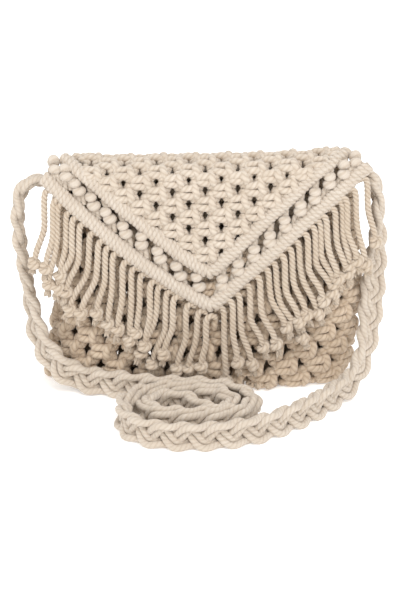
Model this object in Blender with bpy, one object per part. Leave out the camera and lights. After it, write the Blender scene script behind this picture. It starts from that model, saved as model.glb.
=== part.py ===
"""Macrame envelope bag in cotton rope: a hollow knotted pouch, a V flap with two rope borders,
berry knots and a rope fringe, and a long plaited strap that lies in a coil in front.
Metres, +Z up, the front faces -Y, the origin is at the middle of the base."""

import math

import bpy
import bmesh
from mathutils import Vector
from mathutils.geometry import delaunay_2d_cdt, interpolate_bezier

MM = 0.001

# The bag stands on its base. Heights are measured up the middle of the front.
POUCH_HEIGHT = 154.0 * MM
POUCH_HALF_WIDTH = 107.0 * MM
POUCH_HALF_DEPTH = 32.0 * MM
WALL = 8.0 * MM  # a square knot is two ropes thick
PLAN_ROUNDNESS = 2.6  # exponent of the rounded oblong that the pouch is in plan
TOP_SLANT = 0.028  # the right corner stands higher than the left, as a slope
BASE_DRIFT = 7.0 * MM  # the base sits this far to the left of the mouth

# Side view of the pouch: share of the height, share of the half depth, share of the half width.
POUCH_PROFILE = (
    (0.00, 0.74, 0.960),
    (0.035, 0.90, 0.995),
    (0.10, 1.00, 1.010),
    (0.35, 0.97, 1.000),
    (0.60, 0.79, 0.985),
    (0.85, 0.51, 0.970),
    (1.00, 0.38, 0.950),
)

# The net: rows of square knots, each row shifted by half a knot, with a gap between neighbours.
POUCH_KNOTS_AROUND = 20
POUCH_ROW = 11.7 * MM
FIRST_GAP_ROW = 17.0 * MM
GAP_ROWS = 5
GAP_HALF_WIDTH = 2.6 * MM
GAP_HALF_HEIGHT = 2.4 * MM

# The flap lies on the front wall, folds over the mouth and is knotted to the back wall.
SEAT = 0.6 * MM  # air between the flap and the pouch
FLAP_THICK = 7.0 * MM
FLAP_HALF_WIDTH = 140.0 * MM  # of the rounded surface that the flap lies in
FLAP_ROUNDNESS = 3.2
FOLD_RISE = 2.0 * MM
LEFT_CORNER_RISE = 5.5 * MM  # the fold stands higher at its ends, where the borders go over it
RIGHT_CORNER_RISE = 3.4 * MM
CORNER_REACH = 100.0 * MM
FOLD_ARC = 40.0 * MM
FLAP_BACK = 25.0 * MM
FLAP_BACK_HALF_WIDTH = 90.0 * MM
FLAP_BACK_FLARE = 3.0 * MM  # wider where it comes off the fold
FLARE_LENGTH = 7.0 * MM
FLAP_KNOT = 22.6 * MM
FLAP_ROW = 8.5 * MM
FLAP_FIRST_ROW = 163.0 * MM
FLAP_ROW_TILT = 0.028  # the rows rise to the right, as a slope
FLAP_GAP_ROWS = 7
FLAP_GAP_HALF_WIDTH = 2.2 * MM
FLAP_GAP_HALF_HEIGHT = 1.8 * MM

# The V in the surface of the flap: across and up the surface. Both borders are centre lines.
INNER_LEFT = (-98.5 * MM, 174.0 * MM)
INNER_TIP = (3.2 * MM, 89.7 * MM)
INNER_RIGHT = (99.5 * MM, 176.6 * MM)
OUTER_LEFT = (-112.0 * MM, 157.5 * MM)
OUTER_TIP = (4.2 * MM, 66.6 * MM)
OUTER_RIGHT = (113.5 * MM, 160.5 * MM)
INNER_SAG = 4.8 * MM  # the left arms sag this far in their middle
OUTER_SAG = 7.0 * MM
BORDER_HALF_WIDTH = 5.3 * MM
BORDER_THICK = 9.0 * MM
CLEAR = 0.4 * MM  # air between neighbouring pieces
ARM_STEPS = 16  # straight steps in each arm of the V

BERRY_PAIRS = 10
BERRY_BACKING = 2.4 * MM
BERRY_RISE = 7.6 * MM

FRINGE_LOCKS = 20
LOCK_WIDTH = 5.0 * MM
LOCK_THICK = 5.4 * MM
LOCK_BACK = 1.6 * MM  # the locks hang this far off the surface of the flap
KNOT_THICK = 9.0 * MM
HEAD_DEPTH = 4.0 * MM
FRINGE_SIDE_LENGTH = 58.0 * MM
FRINGE_TIP_LENGTH = 50.0 * MM
SPLAY_SIDE = 10.0 * MM
SPLAY_TIP = 3.0 * MM

STRAP_WIDTH = 18.5 * MM
STRAP_THICK = 9.0 * MM
STRAP_STATION = 14.0 * MM

# The strap's route in millimetres, from the left corner of the flap to the right one, and the
# direction of the plait's width: it hangs with an edge to the front and stands on edge on the table.
STRAP_ROUTE = (
    # x, y, z, then the width's x, y, z
    (-103.6, 0, 147.5, 0, -1, 0),
    (-112, -1, 147.5, 0, -1, 0.1),
    (-121, -2, 147, 0, -1, 0.4),
    (-128, -2, 140, 0, -1, 0.3),
    (-131, -2, 124, 0, -1, 0),
    (-130, -2, 102, 0, -1, 0),
    (-127, -3, 80, 0.1, -1, 0),
    (-121.5, -10, 54, 0.4, -0.9, 0.1),
    (-116, -21, 37, 0.5, -0.6, 0.5),
    (-103, -31, 21, 0.4, -0.2, 0.9),
    (-85, -33.5, 11.5, 0, 0, 1),
    (-60, -38.5, 9.5, 0, 0, 1),
    (-32, -46, 9.5, 0, 0, 1),
    (-6, -48, 9.5, 0, 0, 1),
    (18, -55, 9.5, 0, 0, 1),
    (31, -69.5, 9.5, 0, 0, 1),
    (33, -82.5, 9.5, 0, 0, 1),
    (25, -95, 9.5, 0, 0, 1),
    (6, -101.5, 9.5, 0, 0, 1),
    (-16, -102, 9.5, 0, 0, 1),
    (-34, -97, 9.5, 0, 0, 1),
    (-41, -86.5, 9.5, 0, 0, 1),
    (-37, -75.5, 9.5, 0, 0, 1),
    (-24, -69.5, 9.5, 0, 0, 1),
    (-11, -74.5, 9.5, 0, 0, 1),
    (-4, -84, 9.5, 0, 0, 1),
    (4, -91, 9.5, 0, 0, 1),
    (14, -89.5, 9.5, 0, 0, 1),
    (18, -79, 9.5, 0, 0, 1),
    (11, -67, 9.5, 0, 0, 1),
    (-8, -58.5, 9.5, 0, 0, 1),
    (-32, -59, 9.5, 0, 0, 1),
    (-49, -71, 9.5, 0, 0, 1),
    (-56, -90, 9.5, 0, 0, 1),
    (-49, -110, 9.5, 0, 0, 1),
    (-29, -122, 9.5, 0, 0, 1),
    (0, -124, 9.5, 0, 0, 1),
    (32, -114.5, 9.5, 0, 0, 1),
    (60, -93, 9.5, 0, 0, 1),
    (84, -65, 9.5, 0, 0, 1),
    (102, -41, 13, 0, 0, 1),
    (112.5, -26, 30, -0.4, -0.4, 0.8),
    (117, -12, 58, -0.9, -0.45, 0.15),
    (119.5, -4, 92, -0.8, -0.6, 0),
    (121, -2, 118, -0.2, -1, 0),
    (119.5, -2, 142, 0, -1, 0),
    (113, -1, 153, 0, -1, 0),
    (103.6, 0, 153.4, 0, -1, 0),
)

for old in list(bpy.data.objects):
    bpy.data.objects.remove(old)


def cotton(name, colour, roughness):
    """A plain undyed cotton."""
    material = bpy.data.materials.new(name)
    material.use_nodes = True
    shader = material.node_tree.nodes["Principled BSDF"]
    shader.inputs["Base Color"].default_value = (*colour, 1.0)
    shader.inputs["Roughness"].default_value = roughness
    shader.inputs["Metallic"].default_value = 0.0
    return material


def add_piece(name, points, faces, material):
    """One closed body from points and faces, with its faces turned out."""
    mesh = bpy.data.meshes.new(name)
    mesh.from_pydata([tuple(point) for point in points], [], faces)
    shape = bmesh.new()
    shape.from_mesh(mesh)
    bmesh.ops.triangulate(shape, faces=shape.faces)
    bmesh.ops.recalc_face_normals(shape, faces=shape.faces)
    shape.to_mesh(mesh)
    shape.free()
    mesh.materials.append(material)
    piece = bpy.data.objects.new(name, mesh)
    bpy.context.scene.collection.objects.link(piece)
    return piece


def profile_at(share):
    """Half depth and half width of the pouch at a share of its height."""
    share = min(max(share, 0.0), 1.0)
    for low, high in zip(POUCH_PROFILE, POUCH_PROFILE[1:]):
        if share <= high[0]:
            along = (share - low[0]) / (high[0] - low[0])
            ease = along * along * (3.0 - 2.0 * along) if low[0] else math.sqrt(along)
            depth = low[1] + (high[1] - low[1]) * ease
            width = low[2] + (high[2] - low[2]) * ease
            return depth * POUCH_HALF_DEPTH, width * POUCH_HALF_WIDTH
    raise ValueError(share)


def middle_x(height):
    """The pouch drifts to the left towards its base."""
    return -BASE_DRIFT * max(0.0, 1.0 - height / (0.45 * POUCH_HEIGHT))


def slanted(x, height):
    return height + TOP_SLANT * x * min(height, POUCH_HEIGHT) / POUCH_HEIGHT


def oblong(turn, half_width, half_depth):
    """A point of the rounded oblong, turn 0 at the right end and a quarter turn at the back."""
    across = math.cos(turn)
    back = math.sin(turn)
    power = 2.0 / PLAN_ROUNDNESS
    return (
        math.copysign(abs(across) ** power, across) * half_width,
        math.copysign(abs(back) ** power, back) * half_depth,
    )


def even_turns(count):
    """Turns that step evenly round the widest section of the pouch."""
    fine = 2000
    turns = [2.0 * math.pi * step / fine for step in range(fine + 1)]
    ring = [oblong(turn, POUCH_HALF_WIDTH, POUCH_HALF_DEPTH) for turn in turns]
    run = [0.0]
    for here, there in zip(ring, ring[1:]):
        run.append(run[-1] + math.dist(here, there))
    even = []
    at = 0
    for step in range(count):
        goal = run[-1] * step / count
        while run[at + 1] < goal:
            at += 1
        even.append(turns[at] + (turns[at + 1] - turns[at]) * (goal - run[at]) / (run[at + 1] - run[at]))
    return even, run[-1]


def build_pouch(material):
    """The net tube: outer and inner skins on one lattice, with a diamond gap at every second point
    of the lower rows of the front and the back."""
    columns = 2 * POUCH_KNOTS_AROUND
    turns, around = even_turns(columns)
    column_step = around / columns
    gap_heights = [FIRST_GAP_ROW + row * POUCH_ROW for row in range(GAP_ROWS)]
    above = gap_heights[-1] + POUCH_ROW
    heights = [0.0, 0.42 * FIRST_GAP_ROW] + gap_heights + [above]
    rest = 5
    heights += [above + (POUCH_HEIGHT - above) * step / rest for step in range(1, rest + 1)]
    first_gap = heights.index(FIRST_GAP_ROW)
    side_columns = {0, 1, columns // 2, columns // 2 + 1, columns - 1, columns // 2 - 1}

    def is_gap(column, row):
        in_rows = first_gap <= row < first_gap + GAP_ROWS
        return in_rows and (column + row) % 2 == 0 and column % columns not in side_columns

    def place(column, height, inset):
        whole = math.floor(column)
        here = turns[whole % columns] + (2.0 * math.pi if whole >= columns else 0.0)
        there = turns[(whole + 1) % columns]
        while there < here:
            there += 2.0 * math.pi
        turn = here + (there - here) * (column - whole)
        half_depth, half_width = profile_at(height / POUCH_HEIGHT)
        x, y = oblong(turn, half_width - inset, half_depth - inset)
        x += middle_x(height)
        floor = WALL if inset else 0.0
        return Vector((x, y, max(slanted(x, height), floor)))

    points = []
    index = {}

    def corner(skin, column, row, side):
        """The lattice point, or one of the four corners (left, right, up, down) of its gap."""
        column %= columns
        key = (skin, column, row, side if is_gap(column, row) else "")
        if key not in index:
            across = {"left": -1, "right": 1}.get(key[3], 0) * GAP_HALF_WIDTH / column_step
            up = {"up": 1, "down": -1}.get(key[3], 0) * GAP_HALF_HEIGHT
            index[key] = len(points)
            points.append(place((column + across) % columns, heights[row] + up, WALL * skin))
        return index[key]

    faces = []
    first_row = (0, 1)  # the inner skin starts one row up, on top of the base
    for skin in (0, 1):
        for row in range(first_row[skin], len(heights) - 1):
            for column in range(columns):
                ring = []
                for add_column, add_row, sides in (
                    (1, 0, ("left", "up")),
                    (1, 1, ("down", "left")),
                    (0, 1, ("right", "down")),
                    (0, 0, ("up", "right")),
                ):
                    here = (column + add_column, row + add_row)
                    if is_gap(*here):
                        ring += [corner(skin, *here, side) for side in sides]
                    else:
                        ring.append(corner(skin, *here, ""))
                start = 0 if is_gap(column, row) or not is_gap(column + 1, row) else 2
                ring = ring[start:] + ring[:start]
                faces += [(ring[0], ring[k], ring[k + 1]) for k in range(1, len(ring) - 1)]
        base = len(points)
        points.append(Vector((middle_x(0.0), 0.0, WALL * skin)))
        for column in range(columns):
            faces.append(
                (base, corner(skin, column, first_row[skin], ""), corner(skin, column + 1, first_row[skin], ""))
            )
    top = len(heights) - 1
    for column in range(columns):
        faces.append(
            tuple(
                corner(skin, at, top, "") for skin, at in ((0, column), (0, column + 1), (1, column + 1), (1, column))
            )
        )
        for row in range(len(heights)):
            if is_gap(column, row):
                loop = ("left", "up", "right", "down")
                for side, after in zip(loop, loop[1:] + loop[:1]):
                    faces.append(
                        tuple(
                            corner(skin, column, row, at)
                            for skin, at in ((0, side), (0, after), (1, after), (1, side))
                        )
                    )
    return add_piece("pouch", points, faces, material)


def on_flap(x, up, lift):
    """A point of the flap: x across, up the surface of the front, over the fold and down the back,
    lifted off the pouch by lift."""
    share = max(0.0, 1.0 - (abs(x) / FLAP_HALF_WIDTH) ** FLAP_ROUNDNESS) ** (1.0 / FLAP_ROUNDNESS)
    over = up - POUCH_HEIGHT
    half_depth, _ = profile_at(min(up, POUCH_HEIGHT) / POUCH_HEIGHT)
    reach = (half_depth + lift) * share
    if over <= 0.0:
        return Vector((x, -reach, slanted(x, up)))
    rim = slanted(x, POUCH_HEIGHT)
    if over < FOLD_ARC:
        turn = math.pi * over / FOLD_ARC
        corner_rise = LEFT_CORNER_RISE if x < 0.0 else RIGHT_CORNER_RISE
        rise = FOLD_RISE + corner_rise * min(abs(x) / CORNER_REACH, 1.0) ** 4
        return Vector((x, -reach * math.cos(turn), rim + (rise + lift) * math.sin(turn)))
    down = over - FOLD_ARC
    half_depth, _ = profile_at(1.0 - down / POUCH_HEIGHT)
    return Vector((x, (half_depth + lift) * share, rim - down))


def blend(start, end, share):
    return tuple(a + (b - a) * share for a, b in zip(start, end))


def sagged(place, corners, sag):
    """A place by the V, lowered where the V's left arm sags."""
    across = (place[0] - corners[0][0]) / (corners[1][0] - corners[0][0])
    across = min(max(across, 0.0), 1.0)
    return place[0], place[1] - 4.0 * sag * across * (1.0 - across)


def offset_v(left, tip, right, amount):
    """The corners of a V moved up its surface and square to its arms by amount."""
    normals = []
    for start, end in ((left, tip), (tip, right)):
        along = Vector(end) - Vector(start)
        normals.append(Vector((-along.y, along.x)).normalized())
    corner = (normals[0] + normals[1]).normalized()
    corner /= corner.dot(normals[0])
    return (
        tuple(Vector(left) + normals[0] * amount),
        tuple(Vector(tip) + corner * amount),
        tuple(Vector(right) + normals[1] * amount),
    )


def build_flap(material):
    """The net triangle with its fold and the part on the back, cut from one flat pattern."""
    left, tip, right = offset_v(*inner_v, BORDER_HALF_WIDTH + 1.8 * CLEAR)
    back = POUCH_HEIGHT + FOLD_ARC + FLAP_BACK
    waist = POUCH_HEIGHT + FOLD_ARC
    half_back = FLAP_BACK_HALF_WIDTH
    flared = half_back + FLAP_BACK_FLARE
    arm_steps = ARM_STEPS
    outline = [blend(left, tip, step / arm_steps) for step in range(arm_steps)]
    outline += [blend(tip, right, step / arm_steps) for step in range(arm_steps)]
    outline = [sagged(place, inner_v, INNER_SAG) for place in outline]
    outline += [right, (flared, waist - FLARE_LENGTH), (half_back, waist + FLARE_LENGTH)]
    back_steps = 8
    outline += [blend((half_back, back), (-half_back, back), step / back_steps) for step in range(back_steps + 1)]
    outline += [(-half_back, waist + FLARE_LENGTH), (-flared, waist - FLARE_LENGTH)]
    pattern = [Vector(point) for point in outline]
    loops = [list(range(len(outline)))]
    gaps = []
    for row in range(FLAP_GAP_ROWS):
        for knot in range(row - FLAP_GAP_ROWS + 1, FLAP_GAP_ROWS - row, 2):
            across = INNER_TIP[0] * row / FLAP_GAP_ROWS + knot * FLAP_KNOT / 2
            centre = (across, FLAP_FIRST_ROW - row * FLAP_ROW + FLAP_ROW_TILT * across)
            gaps.append(centre)
            loops.append(list(range(len(pattern), len(pattern) + 4)))
            for across, up in ((-1, 0), (0, -1), (1, 0), (0, 1)):
                pattern.append(
                    Vector((centre[0] + across * FLAP_GAP_HALF_WIDTH, centre[1] + up * FLAP_GAP_HALF_HEIGHT))
                )
    first_bare = FLAP_FIRST_ROW + 0.6 * FLAP_ROW
    before_rim = waist - 0.1 * FOLD_ARC
    at_rim = POUCH_HEIGHT + 0.03 * FOLD_ARC
    bare_rows = (at_rim, first_bare, 0.5 * (first_bare + before_rim), before_rim, waist, 0.5 * (waist + back))
    for up in bare_rows:
        for column in range(-3, 4):
            pattern.append(Vector((column * FLAP_KNOT, up)))
    edges = [(a, b) for loop in loops for a, b in zip(loop, loop[1:] + loop[:1])]
    flat, _, triangles, _, _, _ = delaunay_2d_cdt(pattern, edges, [loops[0]], 1, 1e-7)

    def in_gap(point):
        return any(
            abs(point.x - x) / FLAP_GAP_HALF_WIDTH + abs(point.y - up) / FLAP_GAP_HALF_HEIGHT < 0.999 for x, up in gaps
        )

    triangles = [t for t in triangles if not in_gap(sum((flat[k] for k in t), Vector((0, 0))) / 3)]
    points = [on_flap(*point, SEAT) for point in flat]
    points += [on_flap(*point, SEAT + FLAP_THICK) for point in flat]
    above = len(flat)
    faces = [tuple(t) for t in triangles] + [tuple(k + above for k in reversed(t)) for t in triangles]
    sides = {}
    for t in triangles:
        for a, b in zip(t, t[1:] + t[:1]):
            if (b, a) in sides:
                del sides[(b, a)]
            else:
                sides[(a, b)] = True
    faces += [(b, a, a + above, b + above) for a, b in sides]
    return add_piece("flap", points, faces, material)


def build_border(name, corners, sag, material):
    """A rope roll bent into the V, with an eight-sided section."""
    arm_steps = ARM_STEPS
    section = [
        (math.cos(math.pi * (k + 0.5) / 4), math.sin(math.pi * (k + 0.5) / 4)) for k in range(8)
    ]
    widest = math.cos(math.pi / 8)
    points = []
    rings = []
    for step in range(2 * arm_steps + 1):
        ring = []
        for across, out in section:
            left, tip, right = offset_v(*corners, across / widest * BORDER_HALF_WIDTH)
            if step <= arm_steps:
                place = blend(left, tip, step / arm_steps)
            else:
                place = blend(tip, right, step / arm_steps - 1.0)
            place = sagged(place, corners, sag)
            ring.append(len(points))
            points.append(on_flap(*place, SEAT + BORDER_THICK * (0.5 + 0.5 * out / widest)))
        rings.append(ring)
    faces = [tuple(rings[0]), tuple(reversed(rings[-1]))]
    for here, there in zip(rings, rings[1:]):
        for k in range(8):
            faces.append((here[k], here[k - 1], there[k - 1], there[k]))
    return add_piece(name, points, faces, material)


def grid_piece(name, columns, rows, keep, outside, inside, material):
    """A closed slab over the kept cells of a grid: outside and inside give a point for (column, row)."""
    points = []
    index = {}

    def corner(skin, column, row):
        key = (skin, column, row)
        if key not in index:
            index[key] = len(points)
            points.append((outside, inside)[skin](column, row))
        return index[key]

    cells = {(column, row) for column in range(columns) for row in range(rows) if keep(column, row)}
    faces = []
    for column, row in sorted(cells):
        ring = ((column, row), (column + 1, row), (column + 1, row + 1), (column, row + 1))
        faces.append(tuple(corner(0, *at) for at in ring))
        faces.append(tuple(corner(1, *at) for at in reversed(ring)))
        beyond = ((column, row - 1), (column + 1, row), (column, row + 1), (column - 1, row))
        for (start, end), cell in zip(zip(ring, ring[1:] + ring[:1]), beyond):
            if cell not in cells:
                faces.append((corner(0, *end), corner(0, *start), corner(1, *start), corner(1, *end)))
    return add_piece(name, points, faces, material)


def build_berries(name, inner, outer, material):
    """Pairs of round knots standing on a thin backing that fills the channel between the borders."""
    across_cells = 8
    along_cells = 4 * BERRY_PAIRS

    def place(column, row):
        upper = sagged(blend(*inner, column / along_cells), inner_v, INNER_SAG)
        lower = sagged(blend(*outer, column / along_cells), outer_v, OUTER_SAG)
        return blend(upper, lower, row / across_cells)

    def front(column, row):
        hollow_along = math.sin(math.pi * (column % 4) / 4)
        hollow_across = math.sin(math.pi * (row % 4) / 4)
        rise = math.sqrt(hollow_along * hollow_across)
        return on_flap(*place(column, row), SEAT + BERRY_BACKING + BERRY_RISE * rise)

    def back(column, row):
        return on_flap(*place(column, row), SEAT)

    return grid_piece(name, along_cells, across_cells, lambda column, row: True, front, back, material)


def build_fringe(name, side, tip, material):
    """Ropes that hang from a short head under the outer border, each with a knot near its end.
    side and tip are the ends of the head's upper edge."""
    # Share of the lock's length, share of the lock's width, thickness.
    rows = (
        (0.00, 1.0, LOCK_THICK),
        (HEAD_DEPTH / FRINGE_TIP_LENGTH, 1.0, LOCK_THICK),
        (0.42, 0.94, LOCK_THICK),
        (0.74, 0.94, LOCK_THICK),
        (0.84, 1.0, KNOT_THICK),
        (0.92, 1.0, KNOT_THICK),
        (1.00, 0.62, LOCK_THICK),
    )
    step = abs(tip[0] - side[0]) / FRINGE_LOCKS
    turn = math.copysign(1.0, side[0] - tip[0])

    def place(column, row):
        lock, edge = divmod(column, 2)
        length_share, width_share, _ = rows[row]
        inwards = (lock + 0.5) / FRINGE_LOCKS
        half = 0.5 * LOCK_WIDTH * width_share * (1 if edge else -1)
        x_top = side[0] - turn * (inwards * FRINGE_LOCKS * step + half)
        x_edge = side[0] + (tip[0] - side[0]) * inwards if row else x_top
        along = abs(x_edge - side[0]) / abs(tip[0] - side[0])
        _, top = sagged((x_edge, side[1] + (tip[1] - side[1]) * along), outer_v, OUTER_SAG)
        length = FRINGE_SIDE_LENGTH + (FRINGE_TIP_LENGTH - FRINGE_SIDE_LENGTH) * inwards
        lean = SPLAY_SIDE + (SPLAY_TIP - SPLAY_SIDE) * inwards ** 3
        x = x_top + turn * lean * length_share ** 1.5
        return x, top - length * length_share

    def front(column, row):
        x, up = place(column, row)
        middle = LOCK_BACK + 0.5 * LOCK_THICK
        return on_flap(x, up, middle + 0.5 * rows[row][2])

    def back(column, row):
        x, up = place(column, row)
        middle = LOCK_BACK + 0.5 * LOCK_THICK
        return on_flap(x, up, max(middle - 0.5 * rows[row][2], SEAT))

    def keep(column, row):
        return column % 2 == 0 or row == 0

    return grid_piece(name, 2 * FRINGE_LOCKS - 1, len(rows) - 1, keep, front, back, material)


def smooth_route(rows):
    """A curve through the route's points, as close places with the width's direction."""
    places = [Vector(row[:3]) * MM for row in rows]
    widths = [Vector(row[3:]).normalized() for row in rows]
    fine = []
    for k in range(len(places) - 1):
        before = places[max(k - 1, 0)]
        after = places[min(k + 2, len(places) - 1)]
        handle_out = places[k] + (places[k + 1] - before) / 6.0
        handle_in = places[k + 1] - (after - places[k]) / 6.0
        part = interpolate_bezier(places[k], handle_out, handle_in, places[k + 1], 13)
        for n, point in enumerate(part[:-1]):
            fine.append((point, widths[k].lerp(widths[k + 1], n / 12.0)))
    fine.append((places[-1], widths[-1]))
    return fine


def build_strap(material):
    """The flat plait as one solid with an eight-sided flat section."""
    fine = smooth_route(STRAP_ROUTE)
    run = [0.0]
    for (here, _), (there, _) in zip(fine, fine[1:]):
        run.append(run[-1] + (there - here).length)
    count = round(run[-1] / STRAP_STATION)
    stations = []
    at = 0
    for step in range(count + 1):
        goal = run[-1] * step / count
        while at < len(run) - 2 and run[at + 1] < goal:
            at += 1
        share = (goal - run[at]) / (run[at + 1] - run[at])
        place = fine[at][0].lerp(fine[at + 1][0], share)
        stations.append((place, fine[at][1].lerp(fine[at + 1][1], share)))
    half_width = 0.5 * STRAP_WIDTH
    half_thick = 0.5 * STRAP_THICK
    section = ((1, 0.45), (0.72, 1), (-0.72, 1), (-1, 0.45), (-1, -0.45), (-0.72, -1), (0.72, -1), (1, -0.45))
    points = []
    rings = []
    for step, (place, wide) in enumerate(stations):
        before = stations[max(step - 1, 0)][0]
        after = stations[min(step + 1, count)][0]
        along = (after - before).normalized()
        wide = (wide - along * wide.dot(along)).normalized()
        thick = along.cross(wide)
        ring = []
        for w, t in section:
            ring.append(len(points))
            points.append(place + wide * (w * half_width) + thick * (t * half_thick))
        rings.append(ring)
    faces = [tuple(rings[0]), tuple(reversed(rings[-1]))]
    for here, there in zip(rings, rings[1:]):
        for k in range(8):
            faces.append((here[k], here[k - 1], there[k - 1], there[k]))
    return add_piece("strap", points, faces, material)


net_cotton = cotton("net_cotton", (0.62, 0.53, 0.42), 0.95)
border_cotton = cotton("border_cotton", (0.68, 0.59, 0.48), 0.95)
fringe_cotton = cotton("fringe_cotton", (0.70, 0.61, 0.50), 0.95)
strap_cotton = cotton("strap_cotton", (0.72, 0.64, 0.54), 0.95)

inner_v = (INNER_LEFT, INNER_TIP, INNER_RIGHT)
outer_v = (OUTER_LEFT, OUTER_TIP, OUTER_RIGHT)
build_pouch(net_cotton)
build_flap(net_cotton)
build_border("inner_border", inner_v, INNER_SAG, border_cotton)
build_border("outer_border", outer_v, OUTER_SAG, border_cotton)

channel_top = offset_v(*inner_v, -BORDER_HALF_WIDTH - CLEAR)
channel_foot = offset_v(*outer_v, BORDER_HALF_WIDTH + CLEAR)
left_tips = [(point[0] - CLEAR, point[1]) for point in (channel_top[1], channel_foot[1])]
right_tips = [(point[0] + CLEAR, point[1]) for point in (channel_top[1], channel_foot[1])]
build_berries(
    "berry_knots_left", (channel_top[0], left_tips[0]), (channel_foot[0], left_tips[1]), border_cotton
)
build_berries(
    "berry_knots_right", (channel_top[2], right_tips[0]), (channel_foot[2], right_tips[1]), border_cotton
)

head = offset_v(*outer_v, -BORDER_HALF_WIDTH - CLEAR)
build_fringe("fringe_left", head[0], (head[1][0] - 1.0 * MM, head[1][1]), fringe_cotton)
build_fringe("fringe_right", head[2], (head[1][0] + 1.0 * MM, head[1][1]), fringe_cotton)

build_strap(strap_cotton)
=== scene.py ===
"""A macrame envelope bag knotted from natural cotton rope: a netted pouch, a netted V flap with two
wound rope borders, berry knots between them, a rope fringe, and a plaited strap coiled in front."""

import math
import random

import bpy
import numpy as np
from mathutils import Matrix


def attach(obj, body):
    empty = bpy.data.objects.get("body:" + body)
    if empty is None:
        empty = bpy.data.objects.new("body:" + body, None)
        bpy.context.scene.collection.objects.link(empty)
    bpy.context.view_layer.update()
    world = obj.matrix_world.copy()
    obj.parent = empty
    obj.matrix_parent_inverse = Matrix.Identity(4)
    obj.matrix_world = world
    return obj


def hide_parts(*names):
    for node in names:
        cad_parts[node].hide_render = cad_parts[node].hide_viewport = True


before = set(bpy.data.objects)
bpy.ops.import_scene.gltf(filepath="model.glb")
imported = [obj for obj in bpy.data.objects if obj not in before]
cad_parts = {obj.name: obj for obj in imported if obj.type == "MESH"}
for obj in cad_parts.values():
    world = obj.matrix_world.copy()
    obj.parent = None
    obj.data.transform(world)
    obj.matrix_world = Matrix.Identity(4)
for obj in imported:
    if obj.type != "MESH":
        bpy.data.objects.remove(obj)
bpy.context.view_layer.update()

MM = 0.001

# The camera looks a little down on the front of the bag, which stands on a white table in soft
# light from the front and above. The table's far end lies outside the picture.
LOOKS_AT = (-3.15 * MM, -26 * MM, 67.3 * MM)
CAMERA_HEIGHT = math.radians(22)
CAMERA_REACH = 1.6
PICTURE_HEIGHT = 36  # in millimetres on the film, as the lens
LENS = 136.9

camera = bpy.data.objects.new("camera", bpy.data.cameras.new("camera"))
bpy.context.scene.collection.objects.link(camera)
bpy.context.scene.camera = camera
camera.location = (
    LOOKS_AT[0],
    LOOKS_AT[1] - CAMERA_REACH * math.cos(CAMERA_HEIGHT),
    LOOKS_AT[2] + CAMERA_REACH * math.sin(CAMERA_HEIGHT),
)
camera.rotation_euler = (math.pi / 2 - CAMERA_HEIGHT, 0, 0)
camera.data.sensor_fit = "VERTICAL"
camera.data.sensor_height = PICTURE_HEIGHT
camera.data.lens = LENS

TABLE_WHITE = 0.95
TABLE_PAINTED_GLOW = 0.3  # the table glows a little by itself: painted light that washes out the bag's shadow on it

white_table = bpy.data.materials.new("white table")
white_table.use_nodes = True
table_shader = white_table.node_tree.nodes["Principled BSDF"]
table_shader.inputs["Base Color"].default_value = (TABLE_WHITE, TABLE_WHITE, TABLE_WHITE, 1)
table_shader.inputs["Roughness"].default_value = 0.9
table_shader.inputs["Specular IOR Level"].default_value = 0.1
# Painted light: the table glows, so the bag's shadow hardly shows on it.
table_shader.inputs["Emission Color"].default_value = (1, 1, 1, 1)
table_shader.inputs["Emission Strength"].default_value = TABLE_PAINTED_GLOW

table_mesh = bpy.data.meshes.new("table")
table_mesh.from_pydata([(-6, -4, 0), (6, -4, 0), (6, 12, 0), (-6, 12, 0)], [], [(0, 1, 2, 3)])
table_mesh.materials.append(white_table)
table = bpy.data.objects.new("table", table_mesh)
table.location.z = -0.3 * MM
bpy.context.scene.collection.objects.link(table)


def soft_box(name, place, aim, size, watts):
    """A square studio lamp at place, turned towards aim."""
    lamp = bpy.data.lights.new(name, "AREA")
    lamp.shape = "SQUARE"
    lamp.size = size
    lamp.energy = watts
    stand = bpy.data.objects.new(name, lamp)
    stand.location = place
    away = np.array(place) - np.array(aim)
    stand.rotation_euler = (
        math.atan2(math.hypot(away[0], away[1]), away[2]),
        0,
        math.atan2(away[1], away[0]) + math.pi / 2,
    )
    bpy.context.scene.collection.objects.link(stand)


BAG_MIDDLE = (0, 0, 50 * MM)
ROOM_LIGHT = 0.95

soft_box("key", (0.6, -1.5, 2.0), BAG_MIDDLE, size=1.4, watts=30)
soft_box("fill", (-1.8, -0.9, 1.1), BAG_MIDDLE, size=1.6, watts=8)

room = bpy.data.worlds.new("white room")
room.use_nodes = True
room.node_tree.nodes["Background"].inputs["Color"].default_value = (1, 1, 1, 1)
room.node_tree.nodes["Background"].inputs["Strength"].default_value = ROOM_LIGHT
bpy.context.scene.world = room
bpy.context.scene.view_settings.view_transform = "Standard"

# The strap is a flat plait of three strands, each of two cotton ropes side by side. It leaves the
# pouch's left top corner, hangs down that side, lies coiled on edge on the table and comes back up.
PLAIT_LENGTH = 56 * MM  # one full turn of the plait
STRAND_SWING = 7.4 * MM
STRAND_DEPTH = 2.4 * MM
STRAP_ROPE = 4.9 * MM
ROPE_LAY = 9.5 * MM  # one turn of the rope's own three strands

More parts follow.
